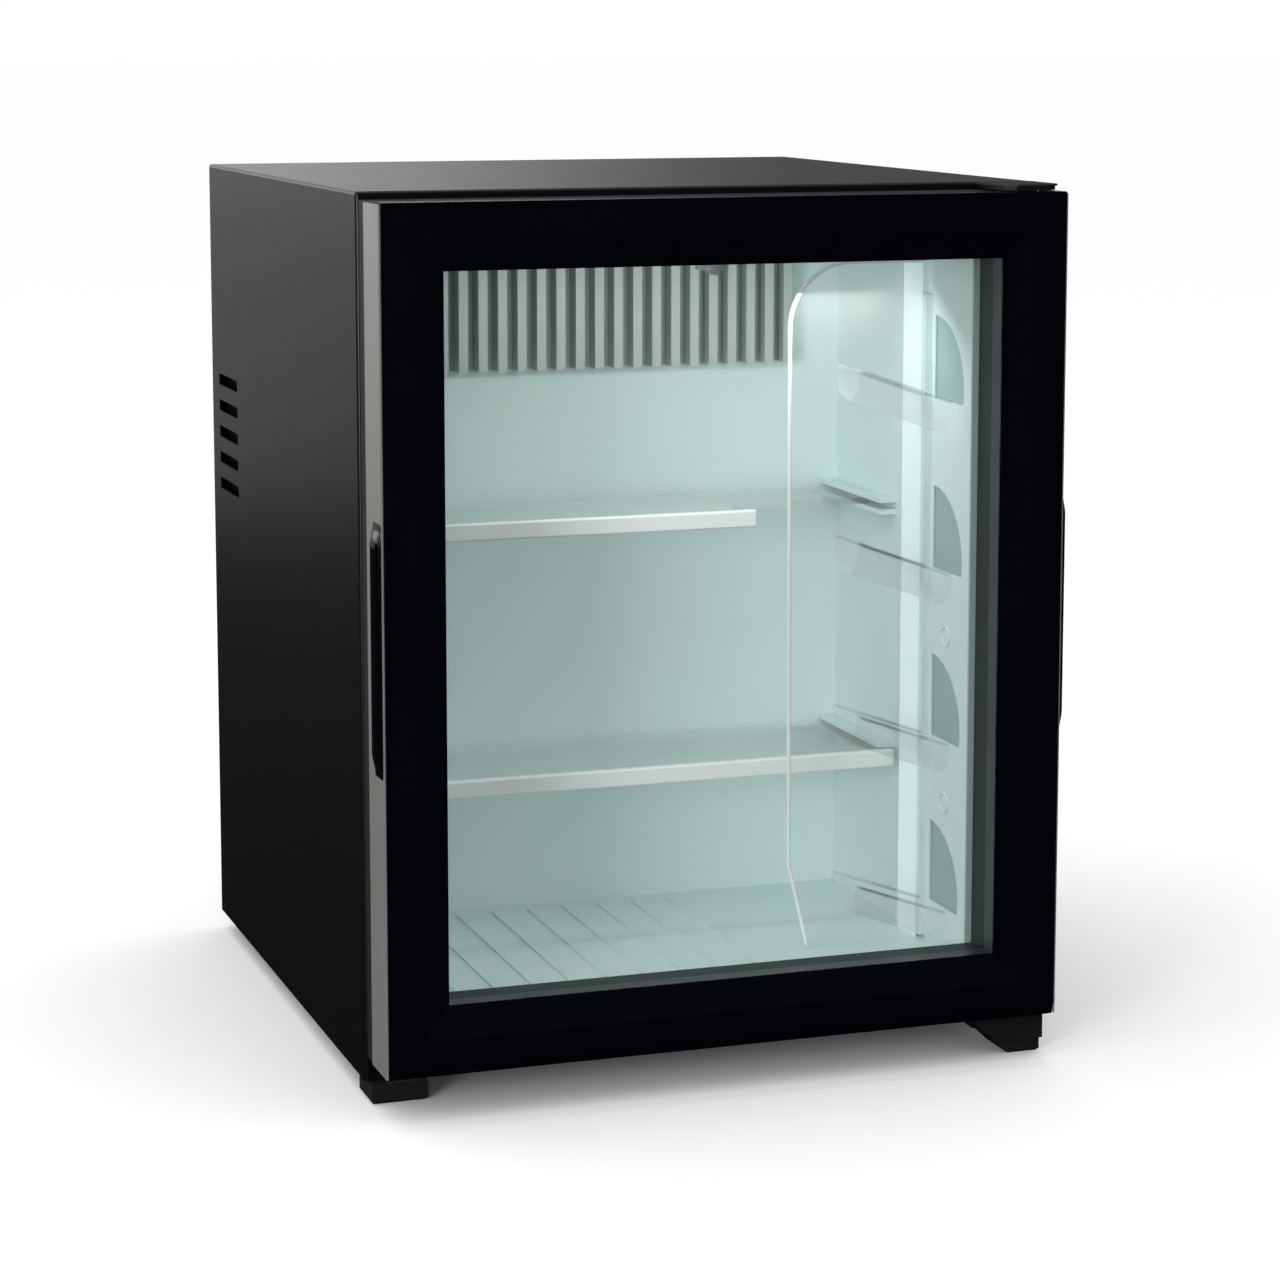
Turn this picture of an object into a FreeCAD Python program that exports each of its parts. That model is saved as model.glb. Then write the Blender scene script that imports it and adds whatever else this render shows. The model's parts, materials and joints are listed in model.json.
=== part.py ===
import FreeCAD, Part
import math
import os
import re
import Sketcher

# A small glass-door refrigerator of about 40 litres, millimetres, +Z up.
# The door faces -Y and turns on a vertical pin at the right. The origin is the middle of the
# footprint, on the floor.

doc = FreeCAD.newDocument("MiniFridge")
sheet = doc.addObject("Spreadsheet::Sheet", "Dims")

sizes = {
    # cabinet
    "cabWidth": 420, "cabDepth": 410, "cabHeight": 520, "footHeight": 12, "steel": 1,
    "flange": 14, "cornerRadius": 2,
    # side vents
    "ventCount": 5, "ventPitch": 17.7, "ventLength": 58, "ventHeight": 7.5, "ventBackGap": 22,
    "ventFloorGap": 305,
    # storage space
    "sideWall": 38, "roofWall": 36, "roomDepth": 205, "roomFloor": 38, "linerWall": 2.5,
    "rimDepth": 10, "foamBack": 42,
    "railHeight": 3, "railLeft": 7, "railRight": 11.5, "railGap": 0.3,
    "ridgeWidth": 31, "ridgeRise": 5, "ridgeSetback": 58,
    "scallopCount": 4, "scallopTopGap": 100.5, "scallopReach": 44, "scallopDepth": 1.5,
    "scallopSetback": 54.5, "scallopFloorGap": 26, "ribPitch": 24, "ribWidth": 3, "ribHeight": 1.2,
    # shelves
    "shelfThick": 4, "shelfSetback": 98, "lowerShelfLevel": 112, "upperShelfLevel": 272,
    "lipHeight": 11, "lipDepth": 5, "notchDepth": 43, "notchGap": 6,
    # bottle rack
    "rackWidth": 91, "rackWall": 2.5, "rackFront": 55, "rackBack": 89,
    "rackTopGap": 14, "rackCorner": 40, "rackToe": 14, "rackToeHeight": 56,
    "cradleRadius": 19.5, "cradleWall": 2, "cradleTilt": 20, "cradleLift": 28.5, "cradleReach": 62,
    "cradleSink": 0.5,
    # door
    "doorThick": 50, "gasketGap": 2, "doorBottomGap": 15, "doorTopGap": 4,
    "bezelDepth": 18, "bezelSide": 39, "bezelTop": 39, "bezelBottom": 40, "dishWidth": 18, "dishDepth": 7,
    "skirtHeight": 8, "skirtDepth": 3, "backOpening": 5,
    "glassThick": 4, "glassRecess": 8, "glassLap": 8, "spacerDepth": 12, "spacerWidth": 6,
    "trimThick": 1.2, "trimSetback": 1, "trimWidth": 33, "gripLength": 146, "gripRise": 3,
    "gripDepth": 19, "gripDrop": 2, "gripBevel": 2.4,
    # hinges
    "hingeInset": 8, "pinRadius": 2.5, "bushRadius": 5, "bushLength": 14, "runningFit": 0.05,
    "plateThick": 2.4, "blockHeight": 16.5, "noseReach": 40, "noseFoot": 24, "noseTop": 52,
    # cooling
    "finCount": 21, "finPitch": 13, "finWidth": 6, "finDepth": 13, "finHeight": 78, "coolerDrop": 51,
    "sinkFins": 17, "sinkWidth": 140, "sinkHeight": 116, "sinkDepth": 40,
    "fanSize": 92, "fanDepth": 25, "fanBore": 44, "bladeCount": 7,
    # small parts
    "screwRadius": 2, "headRadius": 4.2, "headHeight": 2.4, "footSize": 34, "footDepth": 30, "footInset": 30,
    "footBevel": 1.5, "padRadius": 14,
    "knobRadius": 10, "knobHeight": 8, "knobX": 21, "knobY": 35, "stemRadius": 3,
    "lampHalf": 36, "lampFront": 19, "lampRear": 51, "lampDrop": 8, "lampRise": 14,
    "lensLeft": -32, "lensRight": 6, "lensFront": 24, "lensRear": 46, "lensThick": 3,
    "blockHalf": 30, "blockHalfHigh": 22.5, "throatGap": 0.3, "moduleHalf": 20, "moduleThick": 4,
    "boardLeft": 40, "boardRight": 150, "boardLevel": 90, "boardHeight": 74, "boardThick": 1.6,
    "boardGap": 8, "inletLeft": 116, "inletWidth": 34, "inletLevel": 50, "inletHeight": 28,
    "inletDepth": 26, "inletWall": 3, "louvrePitch": 12, "louvreHeight": 5, "louvreHalf": 50,
}
for row, (alias, number) in enumerate(sizes.items(), start=1):
    sheet.set("A%d" % row, alias)
    sheet.set("B%d" % row, str(number))
    sheet.setAlias("B%d" % row, alias)
doc.recompute()

# Places worked out from the driving sizes, written as expressions.
cabFront = "((doorThick + gasketGap - cabDepth) / 2)"
cabBack = "((doorThick + gasketGap + cabDepth) / 2)"
cabTop = "(footHeight + cabHeight)"
cabSide = "(cabWidth / 2)"
doorFace = "(-(doorThick + gasketGap + cabDepth) / 2)"
doorBack = "(%s - gasketGap)" % cabFront
doorBottom = "(footHeight + doorBottomGap)"
doorTop = "(footHeight + cabHeight - doorTopGap)"
roomSide = "(cabWidth / 2 - sideWall)"
roomBase = "(footHeight + roomFloor)"
roomCeiling = "(footHeight + cabHeight - roofWall)"
roomRear = "(%s + roomDepth + rimDepth)" % cabFront
foamRear = "(%s + linerWall + foamBack)" % roomRear
hingeX = "(cabWidth / 2 - hingeInset)"
hingeY = "(%s + doorThick / 2)" % doorFace
glassFront = "(%s + glassRecess)" % doorFace
glassRear = "(%s + glassRecess + 2 * glassThick + spacerDepth)" % doorFace
windowBottom = "(%s + bezelBottom)" % doorBottom
windowTop = "(%s - bezelTop)" % doorTop
windowSide = "(cabWidth / 2 - bezelSide)"
rackRight = "(%s - ridgeRise)" % roomSide
rackLeft = "(%s - rackWidth)" % rackRight
bayPitch = ("((cabHeight - roofWall - roomFloor - scallopFloorGap - scallopTopGap)"
            " / (scallopCount - 1))")
coolerZ = "(%s - coolerDrop)" % roomCeiling
throatHeight = ("%s - blockHalfHigh - throatGap" % coolerZ, "%s + blockHalfHigh + throatGap" % coolerZ)

nodes = []


def qualified(text):
    """Turn the plain size names of an expression into cells of the sheet."""
    return re.sub(r"[A-Za-z]\w*", lambda m: "Dims." + m.group(0) if m.group(0) in sizes
                  else m.group(0), str(text))


probe = doc.addObject("App::FeaturePython", "Probe")
probe.addProperty("App::PropertyFloat", "Result")


def value(text):
    """The number that an expression of size names comes to."""
    probe.setExpression("Result", qualified(text))
    probe.recompute()
    return probe.Result


def bind(item, **expressions):
    for name, text in expressions.items():
        item.setExpression(name, qualified(text))


def place(item, corner):
    for axis, text in zip("xyz", corner):
        item.setExpression("Placement.Base." + axis, qualified(text))


def box(name, corner, size):
    """A box from its lowest corner and its three sizes."""
    item = doc.addObject("Part::Box", name)
    bind(item, Length=size[0], Width=size[1], Height=size[2])
    place(item, corner)
    return item


def span(name, xs, ys, zs):
    """A box between two limits on each axis."""
    return box(name, (xs[0], ys[0], zs[0]),
               ["(%s) - (%s)" % (high, low) for low, high in (xs, ys, zs)])


def both(half):
    """Limits that are the same distance either side of the middle."""
    return "-(%s)" % half, half


turns = {"x": FreeCAD.Rotation(FreeCAD.Vector(0, 1, 0), 90),
         "y": FreeCAD.Rotation(FreeCAD.Vector(1, 0, 0), -90),
         "z": FreeCAD.Rotation()}


def cylinder(name, start, radius, length, axis="z"):
    """A cylinder that runs from its start along +x, +y or +z."""
    item = doc.addObject("Part::Cylinder", name)
    item.Placement = FreeCAD.Placement(FreeCAD.Vector(), turns[axis])
    bind(item, Radius=radius, Height=length)
    place(item, start)
    return item


def fuse(name, items):
    item = doc.addObject("Part::MultiFuse", name)
    item.Shapes = items
    item.Refine = True
    return item


def cut(name, base, tools):
    item = doc.addObject("Part::Cut", name)
    item.Base = base
    item.Tool = tools[0] if len(tools) == 1 else fuse(name + "Tools", tools)
    item.Refine = True
    return item


def ring(name, outer, inner, ys):
    """A rectangular frame: outer and inner are (half width, low z, high z)."""
    body = span(name + "Outer", both(outer[0]), ys, outer[1:])
    hole = span(name + "Hole", both(inner[0]), ("(%s) - 1" % ys[0], "(%s) + 1" % ys[1]), inner[1:])
    return cut(name + "Ring", body, [hole])


def eased(name, base, size, wanted, kind="Part::Fillet"):
    """Round or bevel the edges for which wanted(edge) holds."""
    doc.recompute()
    item = doc.addObject(kind, name)
    item.Base = base
    item.Edges = [(number, size, size) for number, edge in enumerate(base.Shape.Edges, start=1)
                  if wanted(edge)]
    return item


def padded(name, plane, points, length, offset):
    """A body padded from a closed outline of (across, up) expressions on one of its planes."""
    body = doc.addObject("PartDesign::Body", name)
    sketch = body.newObject("Sketcher::SketchObject", name + "Outline")
    origin = [item for item in body.Origin.OriginFeatures if item.Role == plane][0]
    sketch.AttachmentSupport = [(origin, "")]
    sketch.MapMode = "FlatFace"
    flat = [FreeCAD.Vector(value(across), value(up), 0) for across, up in points]
    for first, second in zip(flat, flat[1:] + flat[:1]):
        sketch.addGeometry(Part.LineSegment(first, second))
    for number, (across, up) in enumerate(points):
        earlier = (number - 1) % len(points)
        sketch.addConstraint(Sketcher.Constraint("Coincident", earlier, 2, number, 1))
        for kind, text, start in (("DistanceX", across, flat[number].x),
                                  ("DistanceY", up, flat[number].y)):
            where = sketch.addConstraint(Sketcher.Constraint(kind, -1, 1, number, 1, start))
            sketch.setExpression("Constraints[%d]" % where, qualified(text))
    pad = body.newObject("PartDesign::Pad", name + "Pad")
    pad.Profile = sketch
    bind(pad, Length=length)
    body.Tip = pad
    place(body, offset)
    return body


def node(label, item):
    item.Label = label
    nodes.append(item)
    return item


def flatTo(edge, axis, level):
    """True for an edge that lies wholly at one level along an axis."""
    low, high = getattr(edge.BoundBox, axis + "Min"), getattr(edge.BoundBox, axis + "Max")
    return abs(low - level) < 1e-4 and abs(high - level) < 1e-4


# Cabinet
def outerShell():
    """Folded steel wrap: top, two sides and a narrow front flange, with vents at the rear."""
    outside = span("ShellOutside", both(cabSide), (cabFront, cabBack), ("footHeight", cabTop))
    doc.recompute()
    top, front = value(cabTop), value(cabFront)
    outside = eased("ShellRounded", outside, sizes["cornerRadius"],
                    lambda e: flatTo(e, "Z", top) and not flatTo(e, "Y", value(cabBack))
                    or flatTo(e, "Y", front) and not flatTo(e, "Z", sizes["footHeight"]))
    inside = span("ShellInside", both("%s - steel" % cabSide),
                  ("%s + steel" % cabFront, "%s + 1" % cabBack),
                  ("footHeight - 1", "%s - steel" % cabTop))
    mouth = span("ShellMouth", both("%s - flange" % cabSide),
                 ("%s - 1" % cabFront, "%s + 2" % cabFront),
                 ("footHeight - 1", "%s - flange" % cabTop))
    hingeSlot = span("ShellHingeSlot", ("%s - 37" % cabSide, "%s - 1.8" % cabSide),
                     ("%s - 1" % cabFront, "%s + 2" % cabFront),
                     ("%s - steel - plateThick - 0.4" % cabTop, "%s - steel" % cabTop))
    vents = [span("ShellVent%d" % number, both("%s + 1" % cabSide),
                  ("%s - ventBackGap - ventLength" % cabBack, "%s - ventBackGap" % cabBack),
                  ("footHeight + ventFloorGap + %d * ventPitch - ventHeight / 2" % number,
                   "footHeight + ventFloorGap + %d * ventPitch + ventHeight / 2" % number))
             for number in range(sizes["ventCount"])]
    return node("outer_shell", cut("OuterShell", outside, [inside, mouth, hingeSlot] + vents))


def basePanel():
    panel = span("BaseSheet", both("%s - steel - 0.1" % cabSide),
                 ("%s + steel + 0.1" % cabFront, "%s - 2" % cabBack),
                 ("footHeight", "footHeight + 1.5"))
    return node("base_panel", panel)


def frontRim():
    """Plastic frame that the gasket meets, between the steel flange and the storage space."""
    rim = ring("FrontRim", ("%s - flange - 0.2" % cabSide, "footHeight + 1.7",
                            "%s - flange - 0.2" % cabTop),
               (roomSide, roomBase, roomCeiling), (cabFront, "%s + rimDepth" % cabFront))
    return node("front_rim", rim)


def shelfRails(name, level):
    """Two ribs a side that hold a shelf between them."""
    front = "%s + shelfSetback + 15" % cabFront
    rear = "%s + 0.5" % roomRear
    low = "(%s + %s)" % (roomBase, level)
    rails = []
    for side, inner in (("L", ("-%s - 0.5" % roomSide, "-%s + railLeft" % roomSide)),
                        ("R", ("%s - railRight" % roomSide, "%s + 0.5" % roomSide))):
        under = ("%s - shelfThick - railGap - railHeight" % low, "%s - shelfThick - railGap" % low)
        above = ("%s + railGap" % low, "%s + railGap + railHeight" % low)
        rails.append(span(name + side + "Under", inner, (front, rear), under))
        rails.append(span(name + side + "Above", inner, (front, rear), above))
    return rails


def scallop(number):
    """A shallow D-shaped recess in the right wall beside each cradle of the rack."""
    base = "(%s + scallopFloorGap + %d * %s)" % (roomBase, number, bayPitch)
    back = "(%s + scallopSetback)" % cabFront
    wall = (roomSide, "%s + scallopDepth" % roomSide)
    block = span("ScallopBlock%d" % number, wall, ("%s - scallopReach" % back, back),
                 (base, "%s + scallopReach + 8" % base))
    disc = cylinder("ScallopDisc%d" % number, (roomSide, back, "%s + 8" % base),
                    "scallopReach", "scallopDepth", "x")
    item = doc.addObject("Part::Common", "Scallop%d" % number)
    item.Base, item.Tool = block, disc
    return item


def innerLiner():
    """Moulded tub with shelf rails, a ribbed floor, a wall ridge and recesses for the rack."""
    start = "(%s + rimDepth)" % cabFront
    tub = cut("LinerTub",
              span("LinerOutside", both("%s + linerWall" % roomSide),
                   (start, "%s + linerWall" % roomRear),
                   ("%s - linerWall" % roomBase, "%s + linerWall" % roomCeiling)),
              [span("LinerInside", both(roomSide), ("%s - 1" % start, roomRear),
                    (roomBase, roomCeiling))])
    ridgeBack = "(%s + ridgeSetback + ridgeWidth)" % cabFront
    ridge = span("LinerRidge", ("%s - ridgeRise" % roomSide, "%s + 0.5" % roomSide),
                 ("%s - ridgeWidth" % ridgeBack, ridgeBack),
                 ("%s + 2" % roomBase, "%s - 36" % roomCeiling))
    ribs = [span("FloorRib%d" % number,
                 ("%d * ribPitch - ribWidth / 2" % number,
                  "%d * ribPitch + ribWidth / 2" % number),
                 ("%s + 10" % start, "%s - 12" % roomRear),
                 ("%s - 0.5" % roomBase, "%s + ribHeight" % roomBase)) for number in range(-6, 3)]
    solid = fuse("LinerSolid", [tub, ridge] + ribs + shelfRails("LowRail", "lowerShelfLevel")
                 + shelfRails("HighRail", "upperShelfLevel"))
    hole = span("LinerHole", both("blockHalf + throatGap"),
                ("%s - 1" % roomRear, "%s + linerWall + 1" % roomRear), throatHeight)
    lampHole = span("LinerLampHole", both("lampHalf + throatGap"),
                    ("%s + lampFront - throatGap" % start, "%s + lampRear + throatGap" % start),
                    ("%s - 1" % roomCeiling, "%s + linerWall + 1" % roomCeiling))
    return node("inner_liner", cut("InnerLiner", solid, [hole, lampHole] +
                                   [scallop(n) for n in range(sizes["scallopCount"])]))


def insulation():
    start = "(%s + rimDepth + 0.2)" % cabFront
    block = span("FoamBlock", both("%s - steel - 0.2" % cabSide), (start, foamRear),
                 ("footHeight + 1.7", "%s - steel - 0.2" % cabTop))
    space = span("FoamSpace", both("%s + linerWall + 0.1" % roomSide),
                 ("%s - 1" % start, "%s + linerWall + 0.1" % roomRear),
                 ("%s - linerWall - 0.1" % roomBase, "%s + linerWall + 0.1" % roomCeiling))
    throat = span("FoamThroat", both("blockHalf + throatGap"), (roomRear, "%s + 1" % foamRear),
                  throatHeight)
    hingePocket = span("FoamHingePocket", ("%s - 37" % cabSide, "%s" % cabSide),
                       ("%s - 1" % start, "%s + 52" % cabFront),
                       ("%s - steel - plateThick - 0.5" % cabTop, cabTop))
    lamp = span("FoamLampPocket", both("lampHalf + 0.5"),
                ("%s + lampFront - 1" % start, "%s + lampRear + 1" % start),
                (roomCeiling, "%s + lampRise + throatGap" % roomCeiling))
    return node("insulation_foam", cut("Foam", block, [space, throat, hingePocket, lamp]))


def lampUnit():
    """Ceiling housing that holds the lamp lens and the thermostat dial."""
    start = "(%s + rimDepth)" % cabFront
    under = "(%s - lampDrop)" % roomCeiling
    knobAt = ("knobX", "%s + knobY" % start)
    housing = span("LampBox", both("lampHalf"), ("%s + lampFront" % start, "%s + lampRear" % start),
                   (under, "%s + lampRise" % roomCeiling))
    seat = span("LampSeat", ("lensLeft", "lensRight"),
                ("%s + lensFront" % start, "%s + lensRear" % start),
                ("%s - 1" % under, "%s + lensThick + 1" % under))
    hollow = span("LampHollow", ("lensLeft + 2", "lensRight - 2"),
                  ("%s + lensFront + 2" % start, "%s + lensRear - 2" % start),
                  ("%s - 1" % under, "%s + lampRise - lensThick" % roomCeiling))
    spindle = cylinder("DialHole", knobAt + ("%s - 1" % under,), "stemRadius + runningFit",
                       "lampRise")
    node("lamp_housing", cut("LampHousing", housing, [seat, hollow, spindle]))
    node("lamp_lens", span("LampLens", ("lensLeft + 0.1", "lensRight - 0.1"),
                           ("%s + lensFront + 0.1" % start, "%s + lensRear - 0.1" % start),
                           (under, "%s + lensThick" % under)))
    face = "(%s - 0.3 - knobHeight)" % under
    dial = cylinder("DialDisc", knobAt + (face,), "knobRadius", "knobHeight")
    bar = span("DialBar", ("knobX - stemRadius / 2", "knobX + stemRadius / 2"),
               ("%s + knobY - knobRadius + 1" % start, "%s + knobY + knobRadius - 1" % start),
               ("%s - stemRadius" % face, "%s + 0.5" % face))
    stem = cylinder("DialStem", knobAt + ("%s - 0.8" % under,), "stemRadius", "lampRise - 2")
    node("thermostat_dial", fuse("ThermostatDial", [dial, bar, stem]))


# Shelves and rack
def shelf(name, level, notched):
    """A flat tray with a raised front lip, held between the wall rails."""
    front = "(%s + shelfSetback)" % cabFront
    high = "(%s + %s)" % (roomBase, level)
    xs = ("-%s + 2" % roomSide, "%s - ridgeRise - 1.5" % roomSide)
    notchStart = "(%s - notchGap)" % rackLeft
    lipEnd = notchStart if notched else xs[1]
    plate = span(name + "Sheet", xs, ("%s + lipDepth" % front, "%s - 18" % roomRear),
                 ("%s - shelfThick" % high, high))
    if notched:
        plate = cut(name + "Plate", plate,
                    [span(name + "Notch", (notchStart, "cabWidth"),
                          ("%s - 1" % front, "%s + notchDepth" % front),
                          ("%s - 20" % high, "%s + 20" % high))])
    node(name + "_plate", plate)
    lip = span(name + "Lip", (xs[0], lipEnd), (front, "%s + lipDepth" % front),
               ("%s - lipHeight + 2" % high, "%s + 2" % high))
    doc.recompute()
    nose = value(front)
    node(name + "_lip", eased(name + "LipRounded", lip, 1.5,
                              lambda e: flatTo(e, "Y", nose) and e.Length > 50))


def cradle(number):
    """One sloping half-round cradle for a miniature bottle, open at the top."""
    outer = cylinder("CradleOuter%d" % number, ("0", "0", "-cradleRadius"),
                     "cradleRadius + cradleWall", "2 * cradleReach")
    inner = cylinder("CradleInner%d" % number, ("0", "0", "-2 * cradleRadius"), "cradleRadius",
                     "3 * cradleReach")
    top = span("CradleTop%d" % number, ("cradleWall", "3 * cradleRadius"),
               ("-2 * cradleRadius", "2 * cradleRadius"), ("-2 * cradleRadius", "3 * cradleReach"))
    item = cut("Cradle%d" % number, outer, [inner, top])
    turn = FreeCAD.Rotation(FreeCAD.Vector(0, 1, 0), sizes["cradleTilt"] - 90)
    level = "(%s + cradleLift + %d * %s)" % (roomBase, number, bayPitch)
    middle = "(%s + rackFront - cradleRadius - cradleWall + cradleSink)" % cabFront
    item.Placement = FreeCAD.Placement(
        FreeCAD.Vector(value(rackRight), value(middle), value(level)), turn)
    return item


def bottleRack():
    """Clear moulded rack: an upright sheet with a side flange and four sloping cradles."""
    front = "(%s + rackFront)" % cabFront
    sheetBack = "(%s + rackWall)" % front
    top = "(%s - rackTopGap)" % roomCeiling
    outline = padded("RackSheet", "XZ_Plane",
                     [("%s + rackToe" % rackLeft, roomBase), (rackRight, roomBase),
                      (rackRight, top), (rackLeft, top),
                      (rackLeft, "%s + rackToeHeight" % roomBase)],
                     "rackWall", ("0", sheetBack, "0"))
    doc.recompute()
    left, high = value(rackLeft), value(top)
    sheetRounded = eased("RackSheetRounded", outline, sizes["rackCorner"],
                         lambda e: flatTo(e, "X", left) and flatTo(e, "Z", high))
    flangeSide = span("RackFlange", ("%s - rackWall" % rackRight, rackRight),
                      (front, "%s + rackBack" % cabFront), (roomBase, top))
    slab = span("RackSpan", ("%s - cradleReach" % rackRight, rackRight), ("-cabDepth", "cabDepth"),
                ("0", "cabHeight"))
    row = doc.addObject("Part::Common", "CradleRow")
    row.Base = fuse("Cradles", [cradle(number) for number in range(sizes["scallopCount"])])
    row.Tool = slab
    return node("bottle_rack", fuse("BottleRack", [sheetRounded, flangeSide, row]))


# Cooling unit
def coldPlate():
    """Aluminium plate with upright fins, at the top of the rear wall."""
    width = "((finCount - 1) * finPitch + finWidth)"
    low, high = "(%s - finHeight / 2)" % coolerZ, "(%s + finHeight / 2)" % coolerZ
    back = "(%s - 0.3)" % roomRear
    plate = span("ColdSheet", both("%s / 2" % width), ("%s - 3" % back, back), (low, high))
    fins = [span("ColdFin%d" % number,
                 ("%d * finPitch - %s / 2" % (number, width),
                  "%d * finPitch + finWidth - %s / 2" % (number, width)),
                 ("%s - 3 - finDepth" % back, "%s - 2.5" % back), (low, high))
            for number in range(sizes["finCount"])]
    return node("cold_plate", fuse("ColdPlate", [plate] + fins))


def coldStack():
    """Cold block and thermoelectric module in the throat through the foam."""
    start = "(%s - throatGap)" % roomRear
    module = "(%s - moduleThick - 1)" % foamRear
    node("cold_block", span("ColdBlock", both("blockHalf"), (start, module),
                            ("%s - blockHalfHigh" % coolerZ, "%s + blockHalfHigh" % coolerZ)))
    node("thermoelectric_module", span("Module", both("moduleHalf"),
                                       (module, "%s + moduleThick" % module),
                                       ("%s - moduleHalf" % coolerZ, "%s + moduleHalf" % coolerZ)))


def hotSink():
    """Finned aluminium block on the warm side of the module."""
    start = "(%s - 1)" % foamRear
    seat = "(%s + 0.3)" % foamRear
    low, high = "(%s - sinkHeight / 2)" % coolerZ, "(%s + sinkHeight / 2)" % coolerZ
    boss = span("SinkBoss", both("moduleHalf"), (start, "%s + 1" % seat),
                ("%s - moduleHalf" % coolerZ, "%s + moduleHalf" % coolerZ))
    base = span("SinkBase", both("sinkWidth / 2"), (seat, "%s + 5" % seat), (low, high))
    pitch = "(sinkWidth - 2) / (sinkFins - 1)"
    fins = [span("SinkFin%d" % number,
                 ("%d * %s - sinkWidth / 2" % (number, pitch),
                  "%d * %s - sinkWidth / 2 + 2" % (number, pitch)),
                 ("%s + 4.5" % seat, "%s + sinkDepth" % seat), (low, high))
            for number in range(sizes["sinkFins"])]
    return node("hot_sink", fuse("HotSink", [boss, base] + fins))


fanY = "(%s + 0.6 + sinkDepth)" % foamRear


def fanFrame():
    """Square fan housing with a round bore, four struts and the motor seat."""
    half = "fanSize / 2"
    block = span("FanBlock", both(half), (fanY, "%s + fanDepth" % fanY),
                 ("%s - %s" % (coolerZ, half), "%s + %s" % (coolerZ, half)))
    bore = cylinder("FanHole", ("0", "%s - 1" % fanY, coolerZ), "fanBore", "fanDepth + 2", "y")
    housing = cut("FanHousing", block, [bore])
    seat = cylinder("FanSeat", ("0", "%s + fanDepth - 4" % fanY, coolerZ), "15", "4", "y")
    axle = cylinder("FanAxle", ("0", "%s + 6" % fanY, coolerZ), "2", "fanDepth - 8", "y")
    struts = [span("FanStrutAcross", both("fanBore + 1"),
                   ("%s + fanDepth - 3" % fanY, "%s + fanDepth" % fanY),
                   ("%s - 2" % coolerZ, "%s + 2" % coolerZ)),
              span("FanStrutUp", both("2"),
                   ("%s + fanDepth - 3" % fanY, "%s + fanDepth" % fanY),
                   ("%s - fanBore - 1" % coolerZ, "%s + fanBore + 1" % coolerZ))]
    return node("fan_frame", fuse("FanFrame", [housing, seat, axle] + struts))


def fanRotor():
    """Hub on the axle with pitched blades."""
    start = "(%s + 3)" % fanY
    length = "(fanDepth - 7.5)"
    hub = cylinder("RotorHub", ("0", start, coolerZ), "14", length, "y")
    centre = FreeCAD.Vector(0, value("%s + %s / 2" % (start, length)), value(coolerZ))
    blades = []
    for number in range(sizes["bladeCount"]):
        blade = doc.addObject("Part::Box", "Blade%d" % number)
        bind(blade, Length="fanBore - 2 - 12", Width="15", Height="1.4")
        around = FreeCAD.Rotation(FreeCAD.Vector(0, 1, 0), 360.0 * number / sizes["bladeCount"])
        pitch = FreeCAD.Rotation(FreeCAD.Vector(1, 0, 0), 38)
        turn = around.multiply(pitch)
        blade.Placement = FreeCAD.Placement(centre + turn.multVec(FreeCAD.Vector(12, -7.5, -0.7)), turn)
        blades.append(blade)
    bore = cylinder("RotorBore", ("0", "%s - 1" % start, coolerZ), "2 + runningFit",
                    "%s + 2" % length, "y")
    return node("fan_rotor", cut("FanRotor", fuse("RotorSolid", [hub] + blades), [bore]))


def fanGuard():
    """Three wire rings on a cross behind the fan."""
    level = "(%s + fanDepth + 1.6)" % fanY
    rings = []
    for number in range(1, 4):
        hoop = doc.addObject("Part::Torus", "GuardRing%d" % number)
        hoop.Placement = FreeCAD.Placement(FreeCAD.Vector(), turns["y"])
        bind(hoop, Radius1="%d * 13" % number, Radius2="1")
        place(hoop, ("0", level, coolerZ))
        rings.append(hoop)
    bars = [span("GuardBarAcross", both("fanBore"), ("%s - 1.2" % level, "%s + 0.6" % level),
                 ("%s - 1" % coolerZ, "%s + 1" % coolerZ)),
            span("GuardBarUp", both("1"), ("%s - 1.2" % level, "%s + 0.6" % level),
                 ("%s - fanBore" % coolerZ, "%s + fanBore" % coolerZ))]
    return node("fan_guard", fuse("FanGuard", rings + bars))


def controlBoard():
    """Circuit board on four posts low in the rear compartment."""
    y = "(%s + boardGap)" % foamRear
    base = "(footHeight + boardLevel)"
    parts = [span("BoardSheet", ("boardLeft", "boardRight"), (y, "%s + boardThick" % y),
                  (base, "%s + boardHeight" % base)),
             span("BoardChoke", ("boardLeft + 12", "boardLeft + 44"), ("%s + 1" % y, "%s + 27" % y),
                  ("%s + 36" % base, "%s + 64" % base)),
             span("BoardSinkPlate", ("boardLeft + 56", "boardLeft + 59"),
                  ("%s + 1" % y, "%s + 24" % y), ("%s + 10" % base, "%s + 60" % base))]
    for number, across in enumerate((72, 88, 100)):
        parts.append(cylinder("BoardCan%d" % number,
                              ("boardLeft + %d" % across, "%s + 1" % y, "%s + 50" % base),
                              "5.5", "19", "y"))
    corners = [(across, up) for across in ("boardLeft + 6", "boardRight - 6")
               for up in ("6", "boardHeight - 6")]
    for number, (across, up) in enumerate(corners):
        parts.append(cylinder("BoardPost%d" % number,
                              (across, "%s + 0.3" % foamRear, "%s + %s" % (base, up)),
                              "stemRadius", "boardGap", "y"))
    return node("control_board", fuse("ControlBoard", parts))


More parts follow.
